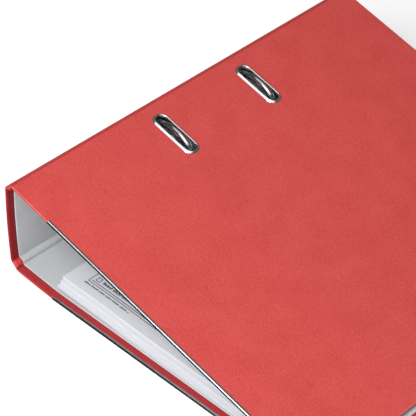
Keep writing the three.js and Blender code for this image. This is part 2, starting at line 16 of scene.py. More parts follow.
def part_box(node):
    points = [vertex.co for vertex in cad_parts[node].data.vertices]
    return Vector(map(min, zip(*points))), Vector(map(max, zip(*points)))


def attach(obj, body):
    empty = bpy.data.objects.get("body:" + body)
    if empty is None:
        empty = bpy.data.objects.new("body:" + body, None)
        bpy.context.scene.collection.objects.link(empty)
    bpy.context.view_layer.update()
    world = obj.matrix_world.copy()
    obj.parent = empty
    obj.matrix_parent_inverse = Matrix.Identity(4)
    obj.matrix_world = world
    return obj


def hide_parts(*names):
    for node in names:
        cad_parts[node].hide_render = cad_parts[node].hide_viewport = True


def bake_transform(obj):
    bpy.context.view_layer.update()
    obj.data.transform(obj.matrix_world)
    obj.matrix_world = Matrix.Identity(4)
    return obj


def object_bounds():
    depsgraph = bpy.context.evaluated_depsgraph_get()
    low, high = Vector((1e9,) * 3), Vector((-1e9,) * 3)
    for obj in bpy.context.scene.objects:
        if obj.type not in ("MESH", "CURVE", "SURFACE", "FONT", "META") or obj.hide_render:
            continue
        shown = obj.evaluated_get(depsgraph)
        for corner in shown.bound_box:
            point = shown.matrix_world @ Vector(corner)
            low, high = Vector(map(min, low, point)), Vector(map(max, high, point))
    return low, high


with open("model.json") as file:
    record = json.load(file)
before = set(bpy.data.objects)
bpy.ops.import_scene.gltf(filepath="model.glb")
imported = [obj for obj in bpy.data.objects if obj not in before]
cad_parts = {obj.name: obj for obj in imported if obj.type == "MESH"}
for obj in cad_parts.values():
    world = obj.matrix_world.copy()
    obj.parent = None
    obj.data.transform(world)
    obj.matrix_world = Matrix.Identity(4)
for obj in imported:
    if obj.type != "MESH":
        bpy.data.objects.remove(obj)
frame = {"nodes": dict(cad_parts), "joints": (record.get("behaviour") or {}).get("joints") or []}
CAD_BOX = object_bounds()

# ---------- driving dimensions ----------
MM = 0.001
JOINTS = {joint["name"]: joint for joint in frame["joints"]}
BOARD_LOW, BOARD_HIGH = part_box("back_cover_board")
ORIGIN = Vector((JOINTS["spine_fold"]["pos_m"][0], BOARD_LOW.y, BOARD_LOW.z))

# The case: depths are measured inwards from its outer face, and insets from its ends and fore edges.
HEIGHT = (BOARD_HIGH.y - BOARD_LOW.y) / MM
BACK_REACH = (BOARD_HIGH.x - ORIGIN.x) / MM
COVER_WIDTH = 280
COVER_SLOPE = math.radians(14.4)
BOARD = 2.2
EDGE_RADIUS = 0.95
LINING_START = 2.22
LINING_END = 2.6
LINING_INSET = 6
LINING_EDGE = 0.55
LINING_CHAMFER = 0.3
FORE_ROUND = 0.45
BACK_BEND = (40, 0)
BACK_BEND_REACH = 9
STRIP_BULGE = 1.5
SPINE_BOW = 0.9

# How far pale colour shows on an outer edge, for rubbing and a painted highlight: the front cover takes the
# most.
COVER_RUB_AND_HIGHLIGHT = 0.4
PANEL_RUB_AND_HIGHLIGHT = 0.05
FOLD_RUB_AND_HIGHLIGHT = 0.2
INNER_EDGE_RUB_AND_HIGHLIGHT = 0.35

# A fold: its reach to each side, its roundings, and how far its crease is pinched and hollowed.
FOLD_REACH = 1.6
FOLD_MARGIN = 0.1
FOLD_ROUND = 1.4
FOLD_INNER_ROUND = 0.5
FOLD_HOLLOW = 0.6
FOLD_PINCH = 0.45
FOLD_PINCH_WIDTH = 0.13
# The next two: how far a crease is paled, for rubbing and a painted highlight, and how far it is darkened
# with painted shade.
FOLD_WEAR_AND_HIGHLIGHT = 0.1
FOLD_CREASE_SHADE = 0.85

# A rail: lips on the case's outer and inner faces, and the sheet that it is folded from.
RAIL_LIPS = (2.2, 1.5)
RAIL_LIP_EDGE = 0.12
RAIL_LIP_UNDERSIDE = 0.2
RAIL_PROUD = 0.12
RAIL_SHEET = 0.3
RAIL_FRONT_SPAN = (36, 270)
RAIL_BACK_SPAN = (10, 244.5)

RING_PITCH = 80
RING_YS = [(HEIGHT - RING_PITCH) / 2, (HEIGHT + RING_PITCH) / 2]
MID_Y = HEIGHT / 2
RING_NAMES = ["lower", "upper"]

# The front cover's slots: their centre, straight length and half widths at opening, tube and rim.
SLOT_FROM_FOLD = 29.7
SLOT_STRAIGHT = 28.2
SLOT_HALF_OPENING = 4
SLOT_TUBE = 4.5
SLOT_RIM = 6.4

# The finger hole in the spine, with the radii of its ring, and the gap round every tube in its board.
FINGER_Y = 76
FINGER_HOLE = 12
FINGER_TUBE = 12.6
FINGER_RIM = 16.5
HOLE_GAP = 0.1

# The posts and the wire that makes both arches; a wire tip is (rise above the post, radius).
POST_X = 50.5
POST_TOP = 58.5
WIRE_RADIUS = 2.25
WIRE_AXIS = (12.5, 10)
WIRE_CORNER = 5
ARCH_SPRING_Z = 58
ARCH_RISE = 14.2
WIRE_TIP = [(0.15, 1.45), (0.35, 1.75), (0.9, 2.2)]

# The papers: sheets fill a share of their pitch, drift in x and y, and sink over a bend.
SHEET_WIDTH = 210
SHEET_HEIGHT = 297
PUNCH_RADIUS = 3
SHEETS_PER_BLOCK = 22
SHEET_SHARE = 0.86
SHEET_DRIFT = (0.18, 0.16)
SHEET_BEND = (68, 120)
SHEET_DROP = 1.55

# The label: its heights are those of its back and face above the spine. Long bars are cut into steps.
LABEL_CORNER = 2.5
LABEL_MARGIN = 4
LABEL_HEIGHTS = (0.01, 0.22)
LABEL_RULE = 0.35
BAR_STEP = 5


def place(point):
    """A point in file millimetres as metres in the row frame."""
    return Vector(point) * MM + ORIGIN


def joint_point(name):
    """The (x, z) of a joint's axis in file millimetres."""
    x, _, z = JOINTS[name]["pos_m"]
    return ((x - ORIGIN.x) / MM, (z - ORIGIN.z) / MM)


# The skin's corners, from the back cover's fore edge round the spine to the front cover's fore edge.
FOLDS = [joint_point(name) for name in ("spine_letdown", "spine_fold", "cover_opening", "cover_fold")]
FRONT_FORE = (
    FOLDS[3][0] + COVER_WIDTH * math.cos(COVER_SLOPE),
    FOLDS[3][1] - COVER_WIDTH * math.sin(COVER_SLOPE),
)
SKIN = [(BACK_REACH, 0), BACK_BEND, *FOLDS, FRONT_FORE]
# Each run of the skin starts at the corner of the same number.
BACK, BACK_SLOPE, REAR_STRIP, SPINE, FRONT_STRIP, FRONT = range(6)


def along(run, distance, depth=0.0):
    """The (x, z) at a distance along one run of the skin, moved inwards by depth; the spine bows out."""
    (ax, az), (bx, bz) = SKIN[run], SKIN[run + 1]
    length = math.hypot(bx - ax, bz - az)
    dx, dz = (bx - ax) / length, (bz - az) / length
    if run == SPINE:
        depth -= SPINE_BOW * math.sin(math.pi * distance / length)
    return (ax + dx * distance + dz * depth, az + dz * distance - dx * depth)


def run_length(run):
    (ax, az), (bx, bz) = SKIN[run], SKIN[run + 1]
    return math.hypot(bx - ax, bz - az)


def run_angle(run):
    (ax, az), (bx, bz) = SKIN[run], SKIN[run + 1]
    return math.atan2(bz - az, bx - ax)


def half_turn(corner):
    """Half of the angle by which the skin turns at a corner."""
    return (run_angle(corner - 1) - run_angle(corner)) / 2


def mitre(corner, depth):
    """Skin corner moved inwards by depth, along the mitre of the two runs that meet there."""
    return along(corner, depth * math.tan(half_turn(corner)), depth)


FINGER_CENTRE = (run_length(SPINE) / 2, FINGER_Y)


def curve3(start, middle, end, t):
    """A point on the quadratic curve from start to end that leans towards middle."""
    return tuple(
        a * (1 - t) ** 2 + 2 * b * t * (1 - t) + c * t ** 2 for a, b, c in zip(start, middle, end)
    )


# ---------- materials ----------
def add_node(tree, kind, inputs=None, **settings):
    """Adds a shader node; an input's value is a number, a colour or another node's output."""
    node = tree.nodes.new(kind)
    for key, value in settings.items():
        setattr(node, key, value)
    for key, value in (inputs or {}).items():
        if isinstance(value, bpy.types.NodeSocket):
            tree.links.new(value, node.inputs[key])
        else:
            node.inputs[key].default_value = value
    return node


def blank_material(name, roughness, metallic=0.0, specular=0.5):
    material = bpy.data.materials.new(name)
    material.use_nodes = True
    surface = material.node_tree.nodes["Principled BSDF"]
    surface.inputs["Roughness"].default_value = roughness
    surface.inputs["Metallic"].default_value = metallic
    surface.inputs["Specular IOR Level"].default_value = specular
    return material, material.node_tree, surface


def noise(tree, scale, detail=2.0, stretch=(1, 1, 1), roughness=0.5):
    """Noise over the object's own coordinates; scale is in features per metre."""
    own_place = add_node(tree, "ShaderNodeTexCoord").outputs["Object"]
    mapping = add_node(tree, "ShaderNodeMapping", {"Vector": own_place, "Scale": stretch})
    stretched = mapping.outputs["Vector"]
    inputs = {"Vector": stretched, "Scale": scale, "Detail": detail, "Roughness": roughness}
    return add_node(tree, "ShaderNodeTexNoise", inputs).outputs["Fac"]


def remap(tree, value, low, high, to_low=0.0, to_high=1.0):
    """Carries the range low to high over to the range to_low to to_high."""
    inputs = {"Value": value, "From Min": low, "From Max": high, "To Min": to_low, "To Max": to_high}
    return add_node(tree, "ShaderNodeMapRange", inputs).outputs["Result"]


def math_node(tree, operation, first, second):
    return add_node(tree, "ShaderNodeMath", {0: first, 1: second}, operation=operation).outputs[0]


def mix_colour(tree, factor, first, second):
    """Mixes two colours; the factor and both colours are values or other nodes' outputs."""
    node = add_node(tree, "ShaderNodeMix", data_type="RGBA")
    for socket, value in ((node.inputs[0], factor), (node.inputs[6], first), (node.inputs[7], second)):
        if isinstance(value, bpy.types.NodeSocket):
            tree.links.new(value, socket)
        else:
            socket.default_value = value
    return node.outputs[2]


def rgb(red, green, blue):
    return (red, green, blue, 1.0)


def attribute(tree, name):
    """A value that a mesh carries at each of its points; it is 0 where a mesh has none."""
    return add_node(tree, "ShaderNodeAttribute", attribute_name=name).outputs["Fac"]


def bump(tree, surface, height, strength, distance):
    inputs = {"Height": height, "Strength": strength, "Distance": distance * MM}
    node = add_node(tree, "ShaderNodeBump", inputs)
    tree.links.new(node.outputs["Normal"], surface.inputs["Normal"])


# Pale red for rubbed edges and a painted edge highlight.
RUBBED_AND_HIGHLIGHT_RED = rgb(0.85, 0.26, 0.22)
# Near black red: painted shade in the creases.
CREASE_SHADE_RED = rgb(0.2, 0.01, 0.012)


def red_paper(name, dark, light):
    """Embossed covering paper: fine grain, faint clouds, pale edges for rubbing and a painted highlight, and
    creases darkened with painted shade.
    """
    material, tree, surface = blank_material(name, 0.7, specular=0.15)
    grain = noise(tree, 900, 4, roughness=0.65)
    clouds = noise(tree, 45, 3)
    fine = remap(tree, grain, 0.35, 0.65, 0, 0.72)
    broad = remap(tree, clouds, 0.3, 0.7, 0, 0.28)
    colour = mix_colour(tree, math_node(tree, "ADD", fine, broad), dark, light)
    # Edges are paled in patches, for rubbing and a painted highlight.
    patches = remap(tree, noise(tree, 260, 3), 0.25, 0.6, 0.45, 1)
    rubbed_and_highlit = math_node(tree, "MULTIPLY", attribute(tree, "wear_and_highlight"), patches)
    colour = mix_colour(tree, rubbed_and_highlit, colour, RUBBED_AND_HIGHLIGHT_RED)
    # Creases are darkened with painted shade.
    colour = mix_colour(tree, attribute(tree, "crease"), colour, CREASE_SHADE_RED)
    tree.links.new(colour, surface.inputs["Base Color"])
    tree.links.new(remap(tree, grain, 0.3, 0.7, 0.68, 0.52), surface.inputs["Roughness"])
    emboss = math_node(tree, "ADD", grain, math_node(tree, "MULTIPLY", noise(tree, 2600, 2), 0.6))
    bump(tree, surface, emboss, 0.5, 0.12)
    return material


def lining_paper(name, dark, light, crease_shade):
    """Plain matt paper with short fibres and faint clouds, darker along a crease with painted shade."""
    material, tree, surface = blank_material(name, 0.8, specular=0.25)
    fibres = noise(tree, 800, 4)
    clouds = noise(tree, 60, 2)
    fine = remap(tree, fibres, 0.35, 0.65, 0, 0.6)
    broad = remap(tree, clouds, 0.3, 0.7, 0, 0.4)
    colour = mix_colour(tree, math_node(tree, "ADD", fine, broad), dark, light)
    # Painted shade along a crease.
    colour = mix_colour(tree, attribute(tree, "crease"), colour, crease_shade)
    tree.links.new(colour, surface.inputs["Base Color"])
    bump(tree, surface, fibres, 0.35, 0.06)
    return material


def plated_metal(name, dark, light, roughness, scale, stretch=(1, 1, 1)):
    """Bright plated steel: faint handling marks in tone, roughness and relief."""
    material, tree, surface = blank_material(name, roughness, metallic=1.0)
    marks = noise(tree, scale, 4, stretch=stretch)
    colour = mix_colour(tree, remap(tree, marks, 0.3, 0.7), dark, light)
    tree.links.new(colour, surface.inputs["Base Color"])
    dullness = remap(tree, marks, 0.25, 0.75, roughness * 0.7, roughness * 1.4)
    tree.links.new(dullness, surface.inputs["Roughness"])
    bump(tree, surface, marks, 0.12, 0.03)
    return material


def sheet_paper(name, dark, light, layered_shade=False):
    """White copier paper; layered adds thin dark lines of painted shade between sheets seen edge on."""
    material, tree, surface = blank_material(name, 0.75, specular=0.3)
    tone = noise(tree, 500, 3)
    # The layered streaks are painted shade between the sheets.
    if layered_shade:
        tone = remap(tree, noise(tree, 12, 3, stretch=(1, 1, 260)), 0.3, 0.65)
    tree.links.new(mix_colour(tree, tone, dark, light), surface.inputs["Base Color"])
    bump(tree, surface, noise(tree, 1500, 3), 0.15, 0.03)
    return material


def ink(name):
    material, tree, surface = blank_material(name, 0.6, specular=0.3)
    tone = remap(tree, noise(tree, 1800, 2), 0.3, 0.7)
    colour = mix_colour(tree, tone, rgb(0.02, 0.02, 0.025), rgb(0.06, 0.06, 0.07))
    tree.links.new(colour, surface.inputs["Base Color"])
    return material


RED = red_paper("red_cover_paper", rgb(0.5, 0.05, 0.045), rgb(0.64, 0.092, 0.083))
# Copies of the red paper for the faces turned in inside the case: darker for painted shade, darker still on
# the spine and front strip, and lighter for painted light on the rear strip.
TURN_IN_PAINTED_SHADE = red_paper("red_turn_in_painted_shade", rgb(0.36, 0.024, 0.028), rgb(0.44, 0.042, 0.045))
SHADED_TURN_IN = red_paper("red_turn_in_painted_deep_shade", rgb(0.22, 0.012, 0.014), rgb(0.28, 0.02, 0.021))
LIT_TURN_IN = red_paper("red_turn_in_painted_light", rgb(0.52, 0.045, 0.042), rgb(0.64, 0.075, 0.07))
# Each lining's darker crease colour is painted shade along its creases.
GREY = lining_paper(
    "grey_lining_paper",
    dark=rgb(0.5, 0.512, 0.527),
    light=rgb(0.575, 0.587, 0.602),
    crease_shade=rgb(0.4, 0.41, 0.42),
)
PALE_EDGE = lining_paper(
    "lining_cut_edge",
    dark=rgb(0.52, 0.64, 0.66),
    light=rgb(0.64, 0.74, 0.76),
    crease_shade=rgb(0.45, 0.55, 0.57),
)
NICKEL = plated_metal(
    "nickel_plate", rgb(0.6, 0.6, 0.61), rgb(0.68, 0.68, 0.69), roughness=0.12, scale=400,
)
RAIL_NICKEL = plated_metal(
    "rail_nickel", rgb(0.56, 0.56, 0.56), rgb(0.64, 0.64, 0.64),
    roughness=0.15, scale=300, stretch=(0.15, 1, 1),
)
# A darker copy of the nickel for the arch wire: painted shade in its reflections.
WIRE_NICKEL_PAINTED_SHADE = plated_metal(
    "wire_nickel_painted_shade", rgb(0.3, 0.3, 0.31), rgb(0.36, 0.36, 0.37), roughness=0.12, scale=400,
)
STEEL = plated_metal(
    "zinc_steel", rgb(0.32, 0.32, 0.33), rgb(0.45, 0.45, 0.46),
    roughness=0.34, scale=350, stretch=(1, 0.1, 1),
)
# Copies of one white paper: darker on the sheets' faces for painted shade under the cover, lighter on their
# edges for painted light.
PAPER_PAINTED_SHADE = sheet_paper("top_sheet_paper_painted_shade", rgb(0.7, 0.71, 0.755), rgb(0.74, 0.75, 0.795))
PAPER_EDGES_PAINTED_LIGHT_AND_SHADE = sheet_paper("paper_stack_edges_painted_light_and_shade", rgb(0.7, 0.72, 0.735), rgb(0.82, 0.84, 0.845), layered_shade=True)
LABEL_PAPER = sheet_paper("label_paper", rgb(0.8, 0.8, 0.78), rgb(0.88, 0.88, 0.86))
INK = ink("printed_ink")


# ---------- mesh helpers ----------
SHARP_EDGE = 40
BOX_FACES = [(0, 1, 2, 3), (7, 6, 5, 4), (0, 4, 5, 1), (1, 5, 6, 2), (2, 6, 7, 3), (3, 7, 4, 0)]


def build(name, points, faces, materials, indices=None, values=None, sharp=SHARP_EDGE):
    """A closed mesh from file millimetres, with outward normals, smooth but for edges over sharp degrees.

    indices is each face's material, and values holds named numbers for each point.
    """
    mesh = bpy.data.meshes.new(name)
    mesh.from_pydata([place(p) for p in points], [], faces)
    for material in materials:
        mesh.materials.append(material)
    if indices:
        mesh.polygons.foreach_set("material_index", indices)
    for key, numbers in (values or {}).items():
        mesh.attributes.new(key, "FLOAT", "POINT").data.foreach_set("value", numbers)
    shape = bmesh.new()
    shape.from_mesh(mesh)
    bmesh.ops.recalc_face_normals(shape, faces=shape.faces)
    shape.to_mesh(mesh)
    shape.free()
    finish_shading(mesh, sharp)
    made = bpy.data.objects.new(name, mesh)
    bpy.context.scene.collection.objects.link(made)
    made.modifiers.new("shading", "WEIGHTED_NORMAL").keep_sharp = True
    return made


def finish_shading(mesh, sharp):
    """Smooth shading, but for edges that turn by more than sharp degrees."""
    mesh.polygons.foreach_set("use_smooth", [True] * len(mesh.polygons))
    mesh.set_sharp_from_angle(angle=math.radians(sharp))


def strip_faces(rows, width):
    """Quads between neighbouring closed rows of width points each."""
    faces = []
    for row in range(rows - 1):
        near, far = row * width, (row + 1) * width
        for i in range(width):
            beside = (i + 1) % width
            faces.append((near + i, near + beside, far + beside, far + i))
    return faces


def capped(rows, width):
    """The side quads of a sweep and a cap at each end."""
    start = tuple(reversed(range(width)))
    end = tuple(range((rows - 1) * width, rows * width))
    return [*strip_faces(rows, width), start, end]


def slab(name, stations, loop, materials, rub_and_highlight=1.0):
    """A closed sheet of the case, swept along the skin.

    A station is (outer point, inner point, inset at both y ends, wear and painted highlight, crease shade),
    a loop point is (y, share of the thickness, wear and painted highlight, material of the face that starts
    there). The rub argument scales the wear and painted highlight.
    """
    points, wear_and_highlight, crease = [], [], []
    for outer, inner, inset, worn_and_highlit, crease_shade in stations:
        for y, share, rubbed_and_highlit, _ in loop:
            x, z = (a + (b - a) * share for a, b in zip(outer, inner))
            points.append((x, y + (inset if y < MID_Y else -inset), z))
            wear_and_highlight.append(rub_and_highlight * max(rubbed_and_highlit, worn_and_highlit * (1 - share)))
            crease.append(crease_shade)
    sides = [material for _ in stations[1:] for *_, material in loop]
    faces = capped(len(stations), len(loop))
    return build(name, points, faces, materials, [*sides, 0, 0], {"wear_and_highlight": wear_and_highlight, "crease": crease})


def board_loop(steps=5):
    """Round-edged outline across a board: outer face, top edge, inner face and bottom edge."""
    share = EDGE_RADIUS / BOARD
    corners = [
        (EDGE_RADIUS, share, 180, 1.0),
        (HEIGHT - EDGE_RADIUS, share, 270, 1.0),
        (HEIGHT - EDGE_RADIUS, 1 - share, 0, INNER_EDGE_RUB_AND_HIGHLIGHT),
        (EDGE_RADIUS, 1 - share, 90, INNER_EDGE_RUB_AND_HIGHLIGHT),
    ]
    loop = []
    for number, (y, level, start, rub_and_highlight) in enumerate(corners):
        for i in range(steps + 1):
            turn = math.radians(start + 90 * i / steps)
            # Rounded edges are paled towards their middle, for rubbing and a painted highlight.
            worn_and_highlit = rub_and_highlight * math.sin(math.pi * i / steps) ** 2
            turned_in = (2, 0) <= (number, i) < (3, steps)
            across, height = EDGE_RADIUS * math.cos(turn), share * math.sin(turn)
            loop.append((y + across, level + height, worn_and_highlit, int(turned_in)))
    return loop


def lining_loop():
    """Thin sheet, inset from the case's ends, with a pale chamfered cut edge."""
    low, high = LINING_INSET, HEIGHT - LINING_INSET
    return [
        (low, 0, 0, 0),
        (high, 0, 0, 1),
        (high, LINING_CHAMFER, 0, 1),
        (high - LINING_EDGE, 1, 0, 0),
        (low + LINING_EDGE, 1, 0, 1),
        (low, LINING_CHAMFER, 0, 1),
    ]


# ---------- the case ----------
LININGS = [GREY, PALE_EDGE]


def station(run, distance, start, end, inset=0.0, worn_and_highlit=0.0):
    """A station of a slab at a distance along one run, between the depths start and end."""
    return (along(run, distance, start), along(run, distance, end), inset, worn_and_highlit, 0)


def fore_inset(start):
    """How far a layer stops short of a cover's fore edge: boards (start 0) reach it, linings don't."""
    return LINING_INSET if start > 0 else 0


def fore_end(run, edge, towards, start, end, steps=5):
    """Stations that round off a fore edge, from the full thickness to the tip."""
    radius = (end - start) * FORE_ROUND
    made = []
    for i in range(steps + 1):
        turn = math.pi / 2 * i / steps
        shrink = radius * (1 - math.cos(turn))
        distance = edge - towards * radius * (1 - math.sin(turn))
        # The rounding is paled for rubbing and a painted highlight.
        worn_and_highlit = math.sin(2 * turn) ** 2
        made.append(station(run, distance, start + shrink, end - shrink, shrink, worn_and_highlit))
    return made


def bend_stations(corner, start, end, reach, steps=6):
    """Stations that turn a corner gently, reach millimetres to each side."""
    before = run_length(corner - 1) - reach
    made = []
    for i in range(steps + 1):
        t = i / steps
        pair = [
            curve3(along(corner - 1, before, depth), mitre(corner, depth), along(corner, reach, depth), t)
            for depth in (start, end)
        ]
        made.append((*pair, 0, 0, 0))
    return made


def back_cover_stations(start, end):
    """From the fore edge over the gentle bend to the lowest fold."""
    fore = reversed(fore_end(BACK, fore_inset(start), -1, start, end))
    bend = bend_stations(BACK_SLOPE, start, end, BACK_BEND_REACH)
    last = run_length(BACK_SLOPE) - FOLD_REACH
    return [*fore, *bend, station(BACK_SLOPE, last, start, end)]


def strip_stations(run, start, end, steps=8):
    """A narrow hinge strip, fuller inside in its middle; its outer face (start 0) stays flat."""
    first, last = FOLD_REACH, run_length(run) - FOLD_REACH
    made = []
    for i in range(steps + 1):
        t = i / steps
        bulge = STRIP_BULGE * math.sin(math.pi * t) ** 0.5
        raised = start + bulge if start > 0 else 0
        made.append(station(run, first + (last - first) * t, raised, end + bulge))
    return made


def rear_strip_stations(start, end):
    return strip_stations(REAR_STRIP, start, end)


def front_strip_stations(start, end):
    return strip_stations(FRONT_STRIP, start, end)


def spine_stations(start, end, steps=24):
    first, last = FOLD_REACH, run_length(SPINE) - FOLD_REACH
    return [station(SPINE, first + (last - first) * i / steps, start, end) for i in range(steps + 1)]


def front_cover_stations(start, end):
    fore = COVER_WIDTH - fore_inset(start)
    return [station(FRONT, FOLD_REACH, start, end), *fore_end(FRONT, fore, 1, start, end)]


def fold_stations(corner, start, end, steps=10):
    """The flexible stretch over a fold, pinched in its middle so that its crease shows."""
    before = run_length(corner - 1)
    is_board = start == 0

    def crossing(depth, rounding, t):
        reach = min(depth * math.tan(half_turn(corner)) + rounding, FOLD_REACH - FOLD_MARGIN)
        first, last = along(corner - 1, before - reach, depth), along(corner, reach, depth)
        return curve3(first, mitre(corner, depth), last, t)

    made = [station(corner - 1, before - FOLD_REACH, start, end)]
    for i in range(steps + 1):
        t = i / steps
        pinch = math.exp(-((t - 0.5) / FOLD_PINCH_WIDTH) ** 2)
        hollow = FOLD_HOLLOW * math.sin(math.pi * t) if is_board else 0
        outer = crossing(start, FOLD_ROUND if is_board else FOLD_INNER_ROUND, t)
        inner = crossing(end - hollow, FOLD_INNER_ROUND, t)
        inset = FOLD_PINCH * pinch if is_board else 0
        # The pinch is paled for rubbing and a painted highlight, and darkened with painted shade along the
        # crease.
        made.append((outer, inner, inset, FOLD_WEAR_AND_HIGHLIGHT * pinch, FOLD_CREASE_SHADE * pinch))
    made.append(station(corner, FOLD_REACH, start, end))
    return made


def fold_blend(piece, corner):
    """Bakes a fold's transform into its mesh; the end points of its outer and inner faces at mid height are
    worked out but not used.
    """
    last = run_length(corner - 1) - FOLD_REACH
    start, end, inner_start, inner_end = (
        place((x, MID_Y, z)) for x, z in (
            along(corner - 1, last), along(corner, FOLD_REACH),
            along(corner - 1, last, LINING_END), along(corner, FOLD_REACH, LINING_END),
        )
    )
    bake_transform(piece)


def apply_cuts(piece):
    """Applies a piece's boolean modifiers and shades the result anew."""
    for modifier in [m for m in piece.modifiers if m.type == "WEIGHTED_NORMAL"]:
        piece.modifiers.remove(modifier)
    graph = bpy.context.evaluated_depsgraph_get()
    mesh = bpy.data.meshes.new_from_object(piece.evaluated_get(graph))
    piece.modifiers.clear()
    piece.data = mesh
    finish_shading(mesh, SHARP_EDGE)
    piece.modifiers.new("shading", "WEIGHTED_NORMAL").keep_sharp = True


def cut(piece, tools):
    """Cuts a hole with each tool, if there are any, and removes the tools."""
    if not tools:
        return
    for number, tool in enumerate(tools):
        modifier = piece.modifiers.new(f"cut_{number}", "BOOLEAN")
        modifier.operation = "DIFFERENCE"
        modifier.solver = "EXACT"
        modifier.object = tool
    apply_cuts(piece)
    for tool in tools:
        bpy.data.objects.remove(tool)


def on_run(run, distance, depth, y):
    """A point on one run of the case, in file millimetres."""
    x, z = along(run, distance, depth)
    return (x, y, z)


def stadium(radius, straight, steps=20):
    """Outline round a slot: x along it, y across it."""
    outline = []
    for side in (1, -1):
        for i in range(steps + 1):
            turn = math.pi * (i / steps - 0.5) + (0 if side == 1 else math.pi)
            outline.append((side * straight / 2 + radius * math.cos(turn), radius * math.sin(turn)))
    return outline


def hole_cutter(run, centre, radius, straight, steps):
    """A bar with a slot's outline that reaches through one run of the case, from outside to inside."""
    distance, y = centre
    outside, inside = -4, 6
    outline = stadium(radius, straight, steps)
    points = [on_run(run, distance + a, depth, y + b) for depth in (outside, inside) for a, b in outline]
    return build("cutter", points, capped(2, len(outline)), [RED])


def cutters(name):
    """The cutters for a panel's holes: two slots in the front cover, the finger hole in the spine."""
    if name == "front_cover":
        radius = SLOT_TUBE + HOLE_GAP
        return [hole_cutter(FRONT, (SLOT_FROM_FOLD, y), radius, SLOT_STRAIGHT, 16) for y in RING_YS]
    if name == "spine":
        return [hole_cutter(SPINE, FINGER_CENTRE, FINGER_TUBE + HOLE_GAP, 0, 32)]
    return []


def panel(name, body, stations, turn_in, rub_and_highlight):
    """A board covered in red paper, and the lining on its inner face."""
    # The turned-in faces take the given copy of the red paper, which carries painted shade, and painted light
    # on the rear strip.
    boards = [RED, turn_in]
    board = slab(f"{name}_covered_board", stations(0, BOARD), board_loop(), boards, rub_and_highlight)
    lining = slab(f"{name}_paper_lining", stations(LINING_START, LINING_END), lining_loop(), LININGS)
    for made, layer, slot in ((board, "board", "red_board"), (lining, "lining", "grey_lining")):
        cut(made, cutters(name))
        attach(made, body)
        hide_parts(f"{name}_{layer}")


def fold(name, corner):
    """The flexible cover paper and lining that join two panels, at the corner where one run starts."""
    # The fold's turned-in faces take the red copy darkened for painted shade.
    hinge = slab(f"{name}_fold", fold_stations(corner, 0, BOARD), board_loop(), [RED, TURN_IN_PAINTED_SHADE], FOLD_RUB_AND_HIGHLIGHT)
    stations = fold_stations(corner, LINING_START, LINING_END)
    crease = slab(f"{name}_fold_lining", stations, lining_loop(), LININGS)
    for made, slot in ((hinge, "red_board"), (crease, "grey_lining")):
        fold_blend(made, corner)


def case():
    """Boards, linings, and the folds between them."""
    panel("back_cover", "back_cover", back_cover_stations, TURN_IN_PAINTED_SHADE, PANEL_RUB_AND_HIGHLIGHT)
    panel("rear_hinge_strip", "rear_strip", rear_strip_stations, LIT_TURN_IN, PANEL_RUB_AND_HIGHLIGHT)
    panel("spine", "spine", spine_stations, SHADED_TURN_IN, PANEL_RUB_AND_HIGHLIGHT)
    panel("front_hinge_strip", "front_strip", front_strip_stations, SHADED_TURN_IN, PANEL_RUB_AND_HIGHLIGHT)
    panel("front_cover", "front_cover", front_cover_stations, TURN_IN_PAINTED_SHADE, COVER_RUB_AND_HIGHLIGHT)
    fold("rear_lower", REAR_STRIP)
    fold("rear_upper", SPINE)
    fold("front_outer", FRONT_STRIP)
    fold("front_inner", FRONT)


# ---------- rails ----------
def rail_side(lip, corner, steps=6):
    """Half of a rail's section, as (inwards from the edge, depth): the outer face and the inner face."""
    peak = corner - RAIL_PROUD
    inside = corner - RAIL_SHEET
    rise = RAIL_LIP_EDGE + RAIL_PROUD
    turns = [math.pi / 2 * i / steps for i in range(steps + 1)]
    outer = [
        (peak + (lip - peak) * math.cos(turn), RAIL_LIP_EDGE - rise * math.sin(turn)) for turn in turns
    ]
    outer += [(peak - corner * math.sin(turn), peak - corner * math.cos(turn)) for turn in turns[1:]]
    inner = [(a, RAIL_LIP_UNDERSIDE) for a, _ in outer[:steps]]
    inner += [(peak - inside * math.sin(turn), peak - inside * math.cos(turn)) for turn in turns]
    return outer, inner


def rail_section(corner):
    """A U-shaped strip with domed lips and full corners, wider on the case's outer face."""
    outer, inner = rail_side(RAIL_LIPS[0], corner)
    far_outer, far_inner = ([(a, BOARD - d) for a, d in half] for half in rail_side(RAIL_LIPS[1], corner))
    return [*outer, *reversed(far_outer), *far_inner, *reversed(inner)]


def rail(name, node, body, run, span, corner):
    """A rail along the bottom edge of one cover, with slightly smaller ends."""
    section = rail_section(corner)
    start, stop = span
    end_length, end_shrink, edge_zone = 0.12, 0.1, 0.5
    rows = [(start, end_shrink), (start + end_length, 0), (stop - end_length, 0), (stop, end_shrink)]
    points = []
    for distance, shrink in rows:
        for a, depth in section:
            inwards = edge_zone * shrink if a < edge_zone else 0
            points.append(on_run(run, distance, depth + (BOARD / 2 - depth) * shrink, a + inwards))
    made = build(name, points, capped(len(rows), len(section)), [RAIL_NICKEL], sharp=35)
    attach(made, body)
    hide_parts(node)


# ---------- eyelets, finger ring, label ----------
def dome(inner, outer, low, high, steps):
    """Half-ellipse of (radius, height) points from the outer foot over the top to the inner one."""
    middle, half = (inner + outer) / 2, (outer - inner) / 2
    return [
        (middle + half * math.cos(math.pi * i / steps), low + (high - low) * math.sin(math.pi * i / steps))
        for i in range(steps + 1)
    ]


def rim_ring(name, run, centre, profile, straight, steps, material):
    """A closed (radius, height) profile carried round a hole in one run of the case.

    straight is the length of the hole's straight sides, and 0 makes a round ring.
    """
    distance, y = centre
    outlines = [stadium(radius, straight, steps) for radius, _ in profile]
    points = [
        on_run(run, distance + outline[i][0], -height, y + outline[i][1])
        for i in range(len(outlines[0]))
        for outline, (_, height) in zip(outlines, profile)
    ]
    width, rows = len(profile), len(outlines[0])
    total = rows * width
    faces = [tuple(i % total for i in face) for face in strip_faces(rows + 1, width)]
    return build(name, points, faces, [material], sharp=50)


